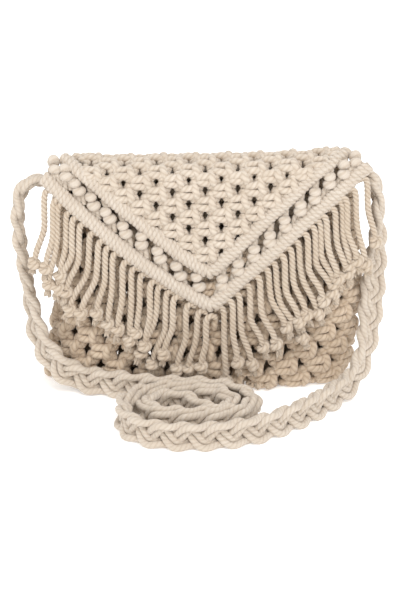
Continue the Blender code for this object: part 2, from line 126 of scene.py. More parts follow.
STRAP_ROUTE = (
    # x, y, z in millimetres, then the direction of the plait's width
    (-103.6, 0, 147.5, 0, -1, 0),
    (-112, -1, 147.5, 0, -1, 0.1),
    (-121, -2, 147, 0, -1, 0.4),
    (-128, -2, 140, 0, -1, 0.3),
    (-131, -2, 124, 0, -1, 0),
    (-130, -2, 102, 0, -1, 0),
    (-127, -3, 80, 0.1, -1, 0),
    (-121.5, -10, 54, 0.4, -0.9, 0.1),
    (-116, -21, 37, 0.5, -0.6, 0.5),
    (-103, -31, 21, 0.4, -0.2, 0.9),
    (-85, -33.5, 11.5, 0, 0, 1),
    (-60, -38.5, 9.5, 0, 0, 1),
    (-32, -46, 9.5, 0, 0, 1),
    (-6, -48, 9.5, 0, 0, 1),
    (18, -55, 9.5, 0, 0, 1),
    (31, -69.5, 9.5, 0, 0, 1),
    (33, -82.5, 9.5, 0, 0, 1),
    (25, -95, 9.5, 0, 0, 1),
    (6, -101.5, 9.5, 0, 0, 1),
    (-16, -102, 9.5, 0, 0, 1),
    (-34, -97, 9.5, 0, 0, 1),
    (-41, -86.5, 9.5, 0, 0, 1),
    (-37, -75.5, 9.5, 0, 0, 1),
    (-24, -69.5, 9.5, 0, 0, 1),
    (-11, -74.5, 9.5, 0, 0, 1),
    (-4, -84, 9.5, 0, 0, 1),
    (4, -91, 9.5, 0, 0, 1),
    (14, -89.5, 9.5, 0, 0, 1),
    (18, -79, 9.5, 0, 0, 1),
    (11, -67, 9.5, 0, 0, 1),
    (-8, -58.5, 9.5, 0, 0, 1),
    (-32, -59, 9.5, 0, 0, 1),
    (-49, -71, 9.5, 0, 0, 1),
    (-56, -90, 9.5, 0, 0, 1),
    (-49, -110, 9.5, 0, 0, 1),
    (-29, -122, 9.5, 0, 0, 1),
    (0, -124, 9.5, 0, 0, 1),
    (32, -114.5, 9.5, 0, 0, 1),
    (60, -93, 9.5, 0, 0, 1),
    (84, -65, 9.5, 0, 0, 1),
    (102, -41, 13, 0, 0, 1),
    (112.5, -26, 30, -0.4, -0.4, 0.8),
    (117, -12, 58, -0.9, -0.45, 0.15),
    (119.5, -4, 92, -0.8, -0.6, 0),
    (121, -2, 118, -0.2, -1, 0),
    (119.5, -2, 142, 0, -1, 0),
    (113, -1, 153, 0, -1, 0),
    (103.6, 0, 153.4, 0, -1, 0),
)


def curve_through(points, steps):
    """A smooth line through the points, with that many steps between neighbours."""
    points = np.asarray(points, float)
    before = np.vstack([points[:1], points[:-2]])
    after = np.vstack([points[2:], points[-1:]])
    here, there = points[:-1], points[1:]
    share = (np.arange(steps) / steps)[None, :, None]
    here, there, before, after = (rows[:, None, :] for rows in (here, there, before, after))
    handle_out = here + (there - before) / 6
    handle_in = there - (after - here) / 6
    line = (
        here * (1 - share) ** 3
        + 3 * handle_out * share * (1 - share) ** 2
        + 3 * handle_in * share**2 * (1 - share)
        + there * share**3
    )
    return np.vstack([line.reshape(-1, points.shape[1]), points[-1:]])


def unit(rows):
    return rows / np.linalg.norm(rows, axis=-1, keepdims=True)


def lengths_along(line):
    return np.concatenate([[0], np.cumsum(np.linalg.norm(np.diff(line, axis=0), axis=1))])


def spread_evenly(line, spacing):
    """The same line with its points about spacing apart."""
    run = lengths_along(line)
    goals = np.linspace(0, run[-1], max(3, round(run[-1] / spacing) + 1))
    return np.column_stack([np.interp(goals, run, column) for column in line.T])


ROPE_STRANDS = 3
TAPER = 0.12  # share of a rope's length over which an end narrows
CROWN_SWELL = 1.03  # a carved rope's widest radius, as a share of its plain one
GROOVE_CUT = 0.24  # how much of that the grooves take away
GROOVE_BEND = 2.2  # how late a strand falls off into its groove
FIRST_SIDE = (0.31, 0.22, 0.93)  # any direction that no rope starts in


class Bundle:
    """The skins of many ropes, gathered into one mesh."""

    def __init__(self):
        self.points, self.faces, self.lay = [], [], []
        self.count = 0

    def add_rope(self, line, thick, sides=8, carved=False, ends=(1.0, 1.0)):
        """A rope along the line. Its lay runs as on a capital S. A carved rope has its three strands
        in its shape. ends are the shares of the thickness at its two ends."""
        line = np.asarray(line, float)
        count = len(line)
        along = unit(np.gradient(line, axis=0))
        sideways = np.empty_like(line)
        start = np.cross(along[0], FIRST_SIDE)
        sideways[0] = start / np.linalg.norm(start)
        for k in range(1, count):
            kept = sideways[k - 1] - along[k] * np.dot(sideways[k - 1], along[k])
            sideways[k] = kept / np.linalg.norm(kept)
        third = np.cross(along, sideways)
        run = lengths_along(line)
        turn = np.broadcast_to(np.arange(sides) / sides, (count, sides))
        share = np.interp(run / run[-1], [0, TAPER, 1 - TAPER, 1], [ends[0], 1, 1, ends[1]])
        radius = np.broadcast_to(share[:, None] * thick / 2, (count, sides))
        if carved:
            off_crown = np.abs((turn * ROPE_STRANDS) % 1 - 0.5) * 2
            radius = radius * (CROWN_SWELL - GROOVE_CUT * off_crown**GROOVE_BEND)
            turn = turn - (run / ROPE_LAY)[:, None]
        angle = turn * 2 * math.pi
        skin = (
            line[:, None]
            + (radius * np.cos(angle))[..., None] * sideways[:, None]
            + (radius * np.sin(angle))[..., None] * third[:, None]
        )
        base = self.count
        ring, side = np.meshgrid(np.arange(count - 1), np.arange(sides), indexing="ij")
        corners = [(ring, side), (ring, side + 1), (ring + 1, side + 1), (ring + 1, side)]
        faces = np.stack([row * sides + column % sides for row, column in corners], -1)
        across = turn[:, :1] + np.arange(sides + 1) / sides
        up = np.broadcast_to((run / ROPE_LAY)[:, None], across.shape)
        grid = np.stack([across, up], -1)
        lay = np.stack([grid[row, column] for row, column in corners], -2)
        caps, cap_lay = [], []
        for row, flip in ((0, True), (count - 1, False)):
            for k in range(sides // 2 - 1):
                cap = [k, k + 1, sides - 2 - k, sides - 1 - k]
                caps.append([row * sides + n for n in (reversed(cap) if flip else cap)])
                cap_lay.append([grid[row, n] for n in cap])
        self.points.append(skin.reshape(-1, 3))
        self.faces.append(np.vstack([faces.reshape(-1, 4), caps]) + base)
        self.lay.append(np.vstack([lay.reshape(-1, 4, 2), cap_lay]))
        self.count += count * sides

    def finish(self, name, material):
        """The object with everything that was gathered."""
        points = np.vstack(self.points)
        faces = np.vstack(self.faces)
        mesh = bpy.data.meshes.new(name)
        mesh.vertices.add(len(points))
        mesh.vertices.foreach_set("co", points.ravel())
        mesh.loops.add(faces.size)
        mesh.loops.foreach_set("vertex_index", faces.ravel().astype(np.int32))
        mesh.polygons.add(len(faces))
        mesh.polygons.foreach_set("loop_start", np.arange(0, faces.size, 4, dtype=np.int32))
        mesh.update(calc_edges=True)
        lay = mesh.uv_layers.new(name="lay")
        lay.data.foreach_set("uv", np.vstack(self.lay).ravel())
        mesh.shade_smooth()
        mesh.materials.append(material)
        piece = bpy.data.objects.new(name, mesh)
        bpy.context.scene.collection.objects.link(piece)
        return piece


FIBRES_ACROSS = 2.5  # the fibres are fine across a strand and long along it
FIBRES_ALONG = 0.8
FIBRE_SCALE = 2.2
FIBRE_TONE = 1.7  # their part in the uneven colour
FIBRE_RELIEF = 0.9  # and in the relief
PATCH_SCALE = 60.0  # lighter and darker patches of about 15 mm
TONE_SHIFT = 0.75  # more of it is darker cotton
SHADE_EDGE = 2.4  # how late a strand darkens into the painted shade of its groove
GROOVE_SHADE_SHARE = 0.75  # how much of the painted groove shade shows in a groove's depth
RELIEF_HEIGHT = 0.6 * MM


def cotton_rope(name, light, shade, groove_shade, twist):
    """Soft twisted cotton. The strands follow the rope's lay, with fine fibres and uneven tone.
    twist is how deep the grooves are between the strands, and the colour in the grooves is darkened
    with painted shade."""
    material = bpy.data.materials.new(name)
    material.use_nodes = True
    nodes, links = material.node_tree.nodes, material.node_tree.links
    shader = nodes["Principled BSDF"]
    shader.inputs["Roughness"].default_value = 0.95
    shader.inputs["Specular IOR Level"].default_value = 0.15
    shader.inputs["Sheen Weight"].default_value = 0.25
    shader.inputs["Sheen Roughness"].default_value = 0.6

    def new(kind, **settings):
        node = nodes.new(kind)
        for key, value in settings.items():
            setattr(node, key, value)
        return node

    def maths(what, first, second=None):
        node = new("ShaderNodeMath", operation=what)
        for socket, value in zip(node.inputs, (first, second)):
            if isinstance(value, (int, float)):
                socket.default_value = value
            elif value is not None:
                links.new(value, socket)
        return node.outputs[0]

    lay = new("ShaderNodeUVMap", uv_map="lay")
    parts = new("ShaderNodeSeparateXYZ")
    links.new(lay.outputs["UV"], parts.inputs[0])
    strand = maths("MULTIPLY", maths("ADD", parts.outputs["X"], parts.outputs["Y"]), ROPE_STRANDS)
    off_crown = maths("ABSOLUTE", maths("SUBTRACT", maths("FRACT", strand), 0.5))
    crown = maths("SUBTRACT", 1.0, maths("POWER", maths("MULTIPLY", off_crown, 2.0), SHADE_EDGE))

    stretched = new("ShaderNodeCombineXYZ")
    links.new(maths("MULTIPLY", strand, FIBRES_ACROSS), stretched.inputs["X"])
    links.new(maths("MULTIPLY", parts.outputs["Y"], FIBRES_ALONG), stretched.inputs["Y"])
    fibres = new("ShaderNodeTexNoise")
    fibres.inputs["Scale"].default_value = FIBRE_SCALE
    fibres.inputs["Detail"].default_value = 3.0
    links.new(stretched.outputs[0], fibres.inputs["Vector"])

    place = new("ShaderNodeTexCoord")
    patches = new("ShaderNodeTexNoise")
    patches.inputs["Scale"].default_value = PATCH_SCALE
    patches.inputs["Detail"].default_value = 2.0
    links.new(place.outputs["Object"], patches.inputs["Vector"])

    tone = new("ShaderNodeMix", data_type="RGBA")
    tone.inputs["A"].default_value = (*shade, 1)
    tone.inputs["B"].default_value = (*light, 1)
    fibre_tone = maths("MULTIPLY", fibres.outputs["Fac"], FIBRE_TONE)
    uneven = maths("ADD", fibre_tone, patches.outputs["Fac"])
    links.new(maths("SUBTRACT", uneven, TONE_SHIFT), tone.inputs["Factor"])
    # Painted shade: the colour is mixed towards the darker groove colour where the strands dip into
    # their grooves.
    groove_shaded = new("ShaderNodeMix", data_type="RGBA")
    groove_shaded.inputs["A"].default_value = (*groove_shade, 1)
    links.new(tone.outputs["Result"], groove_shaded.inputs["B"])
    out_of_groove = maths("ADD", maths("MULTIPLY", crown, GROOVE_SHADE_SHARE), 1 - GROOVE_SHADE_SHARE)
    links.new(out_of_groove, groove_shaded.inputs["Factor"])
    links.new(groove_shaded.outputs["Result"], shader.inputs["Base Color"])

    fibre_relief = maths("MULTIPLY", fibres.outputs["Fac"], FIBRE_RELIEF)
    relief = maths("ADD", maths("MULTIPLY", crown, twist), fibre_relief)
    bump = new("ShaderNodeBump")
    bump.inputs["Strength"].default_value = 0.85
    bump.inputs["Distance"].default_value = RELIEF_HEIGHT
    links.new(relief, bump.inputs["Height"])
    links.new(bump.outputs["Normal"], shader.inputs["Normal"])
    return material


strap_cotton = cotton_rope(
    "plaited cotton",
    light=(0.63, 0.555, 0.47),
    shade=(0.52, 0.435, 0.345),
    groove_shade=(0.46, 0.37, 0.28),
    twist=0.2,
)

route = curve_through(STRAP_ROUTE, 12)
route_run = lengths_along(route[:, :3] * MM)
strap_length = route_run[-1]


def on_strap(distance, sideways, out):
    """Points at a distance along the strap, across its width and off its face."""

    def on_route(places):
        places = np.clip(places, 0, strap_length)
        return np.column_stack([np.interp(places, route_run, column) for column in route.T])

    distance = np.clip(distance, 0, strap_length)
    step = 0.5 * MM
    rows = on_route(distance)
    along = unit((on_route(distance + step) - on_route(distance - step))[:, :3])
    width = unit(rows[:, 3:] - along * np.sum(rows[:, 3:] * along, axis=1, keepdims=True))
    face = np.cross(along, width)
    return rows[:, :3] * MM + width * np.asarray(sideways)[:, None] + face * np.asarray(out)[:, None]


# Where it hangs the plait is pulled straight and flat, and where it lies it is loose. In metres from
# the left end and from the right end: where it still hangs, and where it lies.
HANGS_LEFT, LIES_LEFT = 0.11, 0.17
HANGS_RIGHT, LIES_RIGHT = 0.13, 0.19
HANGING_SWING = 0.8  # shares of the lying plait's swing and depth
HANGING_DEPTH = 0.75
HANGING_ROLL = 0.5  # in radians, how far a strand rolls on its side where it turns at an edge
LYING_ROLL = 1.2
EDGE_REST = 0.2  # how much a strand rests at the edges and hurries across
ROPES_APART = 0.47 * STRAP_ROPE  # each of a strand's two ropes lies this far off its middle
PLAIT_STEP = 1.9 * MM

plait = Bundle()
turns = 2 * math.pi / PLAIT_LENGTH
for strand in range(3):
    at = np.arange(0, strap_length, PLAIT_STEP)
    phase = turns * at + 2 * math.pi * strand / 3
    lies = [HANGS_LEFT, LIES_LEFT, strap_length - LIES_RIGHT, strap_length - HANGS_RIGHT]
    loose = np.interp(at, lies, [0, 1, 1, 0])
    wide = STRAND_SWING * (HANGING_SWING + (1 - HANGING_SWING) * loose)
    swing = wide * (np.sin(phase) + EDGE_REST * np.sin(3 * phase))
    slope = wide * turns * (np.cos(phase) + 3 * EDGE_REST * np.cos(3 * phase))
    depth = STRAND_DEPTH * (HANGING_DEPTH + (1 - HANGING_DEPTH) * loose) * np.sin(2 * phase)
    lean = np.arctan(slope)
    roll = (HANGING_ROLL + (LYING_ROLL - HANGING_ROLL) * loose) * np.sin(phase)
    for half in (-1, 1):
        aside = half * ROPES_APART * np.cos(roll)
        out = depth + half * ROPES_APART * np.sin(roll)
        line = on_strap(at - aside * np.sin(lean), swing + aside * np.cos(lean), out)
        plait.add_rope(line, STRAP_ROPE)
strap = plait.finish("plaited_strap", strap_cotton)
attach(strap, "root")
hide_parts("strap")

# The pouch is a tube of square knots in cotton rope, with a flat knotted bottom. Four ropes meet in
# each knot: two run straight through, the other two are tied round them, and each row shifts by
# half a knot.
POUCH_HEIGHT = 154 * MM
POUCH_HALF_WIDTH = 107 * MM
POUCH_HALF_DEPTH = 32 * MM
PLAN_ROUNDNESS = 2.6
TOP_SLANT = 0.028  # the mouth rises this much to the right
BASE_DRIFT = 7 * MM
DRIFT_TOP = 0.45  # the foot drifts to the left below this share of the height
SWAY = 3 * MM
SWAY_TOP = 0.85  # and the filled middle leans over to the right below this one
PRESSED_IN = 4.5 * MM  # the flap presses the front in where it lies on it
PRESSED_FROM = 95 * MM
PRESSED_OVER = 20 * MM
POUCH_PROFILE = (
    # share of the height, share of the half depth, share of the half width
    (0.00, 0.74, 0.960),
    (0.035, 0.90, 0.995),
    (0.10, 1.00, 1.010),
    (0.35, 0.97, 1.000),
    (0.60, 0.79, 0.985),
    (0.85, 0.51, 0.970),
    (1.00, 0.38, 0.950),
)
KNOTS_AROUND = 20
POUCH_ROW = 11.7 * MM
FIRST_ROW = 5.6 * MM
POUCH_ROWS = 13
POUCH_ROPE = 5.8 * MM
BACK_ROPE = 7.4 * MM  # the back is pulled closer
NET_MIDDLE = 4.0 * MM  # the knots' middle lies this far inside the pouch's outer form

# The pouch's net is the same cotton as the flap's, painted darker and warmer all over: painted shade
# for the body lying in shadow under the flap and fringe.
pouch_cotton = cotton_rope(
    "shaded net cotton",
    light=(0.67, 0.555, 0.43),
    shade=(0.52, 0.40, 0.285),
    groove_shade=(0.38, 0.27, 0.175),
    twist=0.3,
)


def pouch_section(share):
    """Half depth and half width at shares of the pouch's height."""
    share = np.clip(share, 0, 1)
    depth, width = np.empty_like(share), np.empty_like(share)
    for low, high in zip(POUCH_PROFILE, POUCH_PROFILE[1:]):
        here = (share >= low[0]) & (share <= high[0])
        along = (share[here] - low[0]) / (high[0] - low[0])
        ease = along**2 * (3 - 2 * along) if low[0] else np.sqrt(along)
        depth[here] = low[1] + (high[1] - low[1]) * ease
        width[here] = low[2] + (high[2] - low[2]) * ease
    return depth * POUCH_HALF_DEPTH, width * POUCH_HALF_WIDTH


def oblong(turn, half_width, half_depth):
    power = 2 / PLAN_ROUNDNESS
    across, back = np.cos(turn), np.sin(turn)
    return (
        np.sign(across) * np.abs(across) ** power * half_width,
        np.sign(back) * np.abs(back) ** power * half_depth,
    )


fine_turns = np.linspace(0, 2 * math.pi, 2001)
fine_ring = np.column_stack(oblong(fine_turns, POUCH_HALF_WIDTH, POUCH_HALF_DEPTH))
fine_run = lengths_along(fine_ring)
POUCH_KNOT = fine_run[-1] / KNOTS_AROUND


def on_pouch(around, height, out):
    """A place on the net: run round the widest section from the right end, height, and off the form."""
    turn = np.interp(around % fine_run[-1], fine_run, fine_turns)
    half_depth, half_width = pouch_section(height / POUCH_HEIGHT)
    in_front = np.sin(turn) < -0.3
    pressed = PRESSED_IN * np.clip((height - PRESSED_FROM) / PRESSED_OVER, 0, 1) * in_front
    lift = out - NET_MIDDLE - pressed
    x, y = oblong(turn, half_width + lift, half_depth + lift)
    x = x - BASE_DRIFT * np.maximum(0, 1 - height / (DRIFT_TOP * POUCH_HEIGHT))
    x = x + SWAY * np.sin(math.pi * np.clip(height / (SWAY_TOP * POUCH_HEIGHT), 0, 1))
    z = height + TOP_SLANT * x * np.minimum(height, POUCH_HEIGHT) / POUCH_HEIGHT
    return np.column_stack([x, y, np.maximum(z, POUCH_ROPE * 0.5)])


# In rope thicknesses: two ropes that pass from knot to knot lie this far off their middle line,
# and a knot's front bar lies this far above the knot's middle.
ROPES_BESIDE = 0.39
KNOT_BAR = 0.48
KNOT_LEAD = 2.2 * MM  # a rope's line starts this far before the place where it joins the next


def square_knot(pitch, row, rope, tall, flat=1.0, lean=0.0):
    """The four ropes of one square knot as (across, up, out) points, with its centre at 0. pitch
    and row are the net's steps, tall is the knot's half height, flat presses its depth, and lean
    tilts the strand that crosses in front."""
    beside, bar = ROPES_BESIDE * rope, KNOT_BAR * rope
    outer = (pitch / 4 + beside, row / 2 - beside)
    inner = (pitch / 4 - beside, row / 2 + beside)
    # Each is the upper half of a rope, from the place between two knots to the knot's middle.
    straight = [
        (inner[0], inner[1], 0),
        (0.52 * rope, 0.95 * tall, -0.1 * rope),
        (0.4 * rope, 0, -0.1 * rope),
    ]
    over = [
        (outer[0], outer[1], 0),
        (1.3 * rope, 0.5 * tall, 0.1 * rope),
        (0.6 * rope, 1.05 * bar, 0.6 * rope),
        (-0.2 * rope, bar, 0.8 * rope),
        (-0.75 * rope, 0.8 * bar, 0.55 * rope),
        (-0.95 * rope, 0, 0.1 * rope),
    ]
    under = [
        (-outer[0], outer[1], 0),
        (-1.25 * rope, 0.72 * tall, 0.3 * rope),
        (-0.75 * rope, 0.75 * tall, -0.25 * rope),
        (0, 0.6 * tall, -0.8 * rope),
        (0.75 * rope, 0.75 * tall, -0.25 * rope),
        (0.98 * rope, 0.98 * tall, 0.4 * rope),
        (0.97 * rope, 0.55 * tall, 0.92 * rope),
        (0.95 * rope, 0, 1.02 * rope),
    ]
    ropes = []
    for half, mirror in ((straight, 1), (straight, -1), (over, 1), (under, 1)):
        points = np.array(half)
        points[:, 0] *= mirror
        points[:, 2] *= flat
        back = points[-2::-1] * (1, -1, 1)
        if half is under:
            points[5:7, 0] -= lean * rope
            back[:2, 0] += lean * rope
        side = np.sign(points[0, 0])
        before = points[0] + (side * KNOT_LEAD, KNOT_LEAD, 0)
        after = back[-1] + (side * KNOT_LEAD, -KNOT_LEAD, 0)
        ropes.append(np.vstack([before, points, back, after]))
    return ropes


# How unlike each other the knots are.
KNOT_TILT = 0.06
KNOT_GROWTH = (0.97, 1.04)
KNOT_SINK = 0.25 * MM
KNOT_SHAKE = 0.22 * MM


def add_knot(bundle, ropes, centre, thick, place, sides, chance):
    """One knot of the net at centre, a little different from its neighbours."""
    tilt = chance.uniform(-KNOT_TILT, KNOT_TILT)
    grow = chance.uniform(*KNOT_GROWTH)
    sink = chance.uniform(-KNOT_SINK, KNOT_SINK)
    for points in ropes:
        shaken = points.copy()
        inner = shaken[2:-2]
        inner += [[chance.uniform(-KNOT_SHAKE, KNOT_SHAKE) for _ in range(3)] for _ in inner]
        across, up = inner[:, 0].copy(), inner[:, 1].copy()
        inner[:, 0] = grow * (across - tilt * up)
        inner[:, 1] = grow * (up + tilt * across)
        shaken[:, 2] += sink
        steps = 2 if len(points) > 14 else 3
        cut = steps // 2 + 1
        line = curve_through(shaken, steps)[cut:-cut]
        around, height = centre[0] + line[:, 0], centre[1] + line[:, 1]
        bundle.add_rope(place(around, height, line[:, 2]), thick, sides)


PLAIN_SIDES = 6  # of the ropes that hardly show
ROUND_SIDES = 8
ROWS_IN_SIGHT = 10  # the flap covers those above
POUCH_KNOT_HALF = 5.0 * MM
POUCH_KNOT_FLATNESS = 0.8

chance = random.Random(4)
pouch_knot = square_knot(POUCH_KNOT, POUCH_ROW, POUCH_ROPE, POUCH_KNOT_HALF, POUCH_KNOT_FLATNESS)
nets = {"front": Bundle(), "back": Bundle()}
for row in range(POUCH_ROWS):
    for knot in range(KNOTS_AROUND):
        # A hole of the net is at every second column of its row, and the knots are between them.
        column = 2 * knot + (row % 2)
        centre = (column * POUCH_KNOT / 2, FIRST_ROW + row * POUCH_ROW)
        half = "back" if 0 < column < KNOTS_AROUND else "front"
        rope = POUCH_ROPE if half == "front" else BACK_ROPE
        sides = ROUND_SIDES if half == "front" and row < ROWS_IN_SIGHT else PLAIN_SIDES
        add_knot(nets[half], pouch_knot, centre, rope, on_pouch, sides, chance)

# The mouth is finished with a plain rope that the net's ropes are folded over.
RIM_LEVEL = POUCH_HEIGHT - 3 * MM
RIM_ROPE = 1.1 * POUCH_ROPE

rim = np.linspace(0, fine_run[-1], 140)
rim_line = on_pouch(rim, np.full_like(rim, RIM_LEVEL), np.zeros_like(rim))
nets["back"].add_rope(rim_line, RIM_ROPE)

# The bottom is the same net laid flat between the lowest knots.
BASE_LEVEL = 3.6 * MM
BASE_ROW = 0.9 * POUCH_ROW
BASE_HALF_DEPTH = 0.80 * POUCH_HALF_DEPTH
BASE_HALF_WIDTH = 0.93 * POUCH_HALF_WIDTH


def on_base(x, y, out):
    return np.column_stack([x, y, np.maximum(BASE_LEVEL - out, POUCH_ROPE * 0.5)])


for row in range(-2, 3):
    for knot in range(-5, 6):
        x = (knot + 0.5 * (row % 2)) * POUCH_KNOT
        y = row * BASE_ROW
        share = 1 - (abs(x) / BASE_HALF_WIDTH) ** PLAN_ROUNDNESS
        if share > 0 and abs(y) < BASE_HALF_DEPTH * share ** (1 / PLAN_ROUNDNESS):
            centre = (x - BASE_DRIFT, y)
            add_knot(nets["back"], pouch_knot, centre, POUCH_ROPE, on_base, PLAIN_SIDES, chance)

for half, bundle in nets.items():
    net = bundle.finish(f"pouch_net_{half}", pouch_cotton)
    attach(net, "root")
    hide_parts("pouch")

# The flap is a closer net of the same knot, in thinner cotton rope. It lies on the pouch's front,
# folds over the mouth and is knotted to the back wall.
SEAT = 0.6 * MM  # the flap lies this far off the pouch
FLAP_THICK = 7 * MM
FLAP_HALF_WIDTH = 140 * MM
FLAP_ROUNDNESS = 3.2
FOLD_RISE = 2 * MM  # the fold stands this far over the mouth, and its corners higher
LEFT_CORNER_RISE = 5.5 * MM
RIGHT_CORNER_RISE = 3.4 * MM
CORNER_REACH = 100 * MM
FOLD_ARC = 40 * MM  # length of the fold, from the front to the back
FLAP_BACK = 25 * MM  # how far the flap goes down the back wall
FLAP_KNOT = 22.6 * MM
FLAP_ROW = 8.5 * MM
FLAP_FIRST_ROW = 163 * MM
FLAP_ROW_TILT = 0.028
FLAP_ROPE = 5.3 * MM
INNER_LEFT = (-98.5 * MM, 174 * MM)
INNER_TIP = (3.2 * MM, 89.7 * MM)
INNER_RIGHT = (99.5 * MM, 176.6 * MM)
INNER_SAG = 4.8 * MM  # the left arms sag this far in their middle
INNER_V = (INNER_LEFT, INNER_TIP, INNER_RIGHT, INNER_SAG)
UP_PER_ARM = 1.3  # a step square to an arm of the V is this much longer straight up


def on_flap(x, up, lift):
    """A place on the flap: across, up the front surface and over the fold, and off the pouch."""
    x, up, lift = np.broadcast_arrays(*(np.asarray(value, float) for value in (x, up, lift)))
    rest = np.maximum(0, 1 - (np.abs(x) / FLAP_HALF_WIDTH) ** FLAP_ROUNDNESS)
    share = rest ** (1 / FLAP_ROUNDNESS)
    front_depth, _ = pouch_section(np.minimum(up, POUCH_HEIGHT) / POUCH_HEIGHT)
    over = up - POUCH_HEIGHT
    down = np.maximum(over - FOLD_ARC, 0)
    back_depth, _ = pouch_section(1 - down / POUCH_HEIGHT)
    rim = POUCH_HEIGHT + TOP_SLANT * x
    turn = np.clip(math.pi * over / FOLD_ARC, 0, math.pi)
    depth = np.where(over < FOLD_ARC, front_depth, back_depth)
    y = -(depth + lift) * share * np.cos(turn)
    corner_rise = np.where(x < 0, LEFT_CORNER_RISE, RIGHT_CORNER_RISE)
    corner_rise = corner_rise * np.minimum(np.abs(x) / CORNER_REACH, 1) ** 4
    rise = (FOLD_RISE + corner_rise + lift) * np.sin(turn)
    front = up + TOP_SLANT * x * np.minimum(up, POUCH_HEIGHT) / POUCH_HEIGHT
    z = np.where(over < 0, front, rim + rise - down)
    return np.stack([x, y, z], -1)


def sag_at(x, left, tip, sag):
    """How far the left arm of a V hangs below its straight line at x."""
    share = np.clip((np.asarray(x) - left[0]) / (tip[0] - left[0]), 0, 1)
    return 4 * sag * share * (1 - share)


def arm_distance(x, up, left, tip, right, sag):
    """How far points lie above the V, square to its arms."""
    up = up + sag_at(x, left, tip, sag)
    far = []
    for start, end in ((left, tip), (tip, right)):
        along = np.array(end) - np.array(start)
        along /= np.linalg.norm(along)
        far.append((np.asarray(up) - start[1]) * along[0] - (np.asarray(x) - start[0]) * along[1])
    return np.minimum(*far)


FLAP_EDGE = 93 * MM
UNDER_BORDER = 2 * MM  # the net's ropes end this far short of the border's middle


def on_flap_net(x, up, out):
    """A place on the flap's net, whose ropes end under the border and at the side edges."""
    short = np.minimum(arm_distance(x, up, *INNER_V) - UNDER_BORDER, 0)
    edge = FLAP_EDGE - 1.5 * MM
    return on_flap(np.clip(x, -edge, edge), up - short * UP_PER_ARM, SEAT + FLAP_THICK / 2 + out)


net_cotton = cotton_rope(
    "net cotton",
    light=(0.66, 0.58, 0.49),
    shade=(0.535, 0.445, 0.35),
    groove_shade=(0.44, 0.345, 0.255),
    twist=0.22,
)
FLAP_ROWS = range(-8, 7)
FLAP_KNOT_HALF = 4.1 * MM
FLAP_KNOT_FLATNESS = 0.74
FLAP_KNOT_LEAN = 0.12
EDGE_ROPE = 5.2 * MM
flap_back = POUCH_HEIGHT + FOLD_ARC + FLAP_BACK

flap_net = Bundle()
flap_knot = square_knot(
    FLAP_KNOT, FLAP_ROW, FLAP_ROPE, FLAP_KNOT_HALF, FLAP_KNOT_FLATNESS, FLAP_KNOT_LEAN
)
for row in FLAP_ROWS:
    for knot in range(-5, 6):
        x = (knot + 0.5 * ((row + 1) % 2)) * FLAP_KNOT
        up = FLAP_FIRST_ROW + row * FLAP_ROW + FLAP_ROW_TILT * x
        if arm_distance(x, up, *INNER_V) > 3 * MM and abs(x) < FLAP_EDGE:
            add_knot(flap_net, flap_knot, (x, up), FLAP_ROPE, on_flap_net, ROUND_SIDES, chance)

# A plain rope edges the fold's sides and the straight end on the back.
edge_points = [
    (FLAP_EDGE, 168 * MM),
    (FLAP_EDGE, 190 * MM),
    (FLAP_EDGE - 3 * MM, flap_back - 6 * MM),
    (FLAP_EDGE - 8 * MM, flap_back - 2 * MM),
]
edge_points += [(-x, up) for x, up in reversed(edge_points)]
edge = spread_evenly(curve_through(edge_points, 24), 2 * MM)
flap_net.add_rope(on_flap(edge[:, 0], edge[:, 1], SEAT + FLAP_THICK / 2), EDGE_ROPE)
flap = flap_net.finish("flap_net", net_cotton)
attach(flap, "root")
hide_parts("flap")

# Each border is a carrying rope wound close with a second cotton rope, in one V. The inner one ends
# the flap's net, and the ropes of the fringe hang from the outer one.
OUTER_LEFT = (-112 * MM, 157.5 * MM)
OUTER_TIP = (4.2 * MM, 66.6 * MM)
OUTER_RIGHT = (113.5 * MM, 160.5 * MM)
OUTER_SAG = 7 * MM
OUTER_V = (OUTER_LEFT, OUTER_TIP, OUTER_RIGHT, OUTER_SAG)
BORDER_CORE = 4.4 * MM
BORDER_WRAP = 3.1 * MM  # from one winding to the next
WRAP_ROPE = 4.2 * MM
BORDER_ACROSS = 3.2 * MM  # the windings' half width and half depth, to the rope's middle
BORDER_OUT = 2.35 * MM
WRAP_SLACK = (0.93, 1.07)
TIP_BEND = 2.5 * MM  # the V's tip is rounded over this length of each arm
BORDER_MIDDLE = SEAT + 4.5 * MM

border_cotton = cotton_rope(
    "wound cotton",
    light=(0.64, 0.57, 0.49),
    shade=(0.53, 0.445, 0.36),
    groove_shade=(0.47, 0.38, 0.29),
    twist=0.15,
)


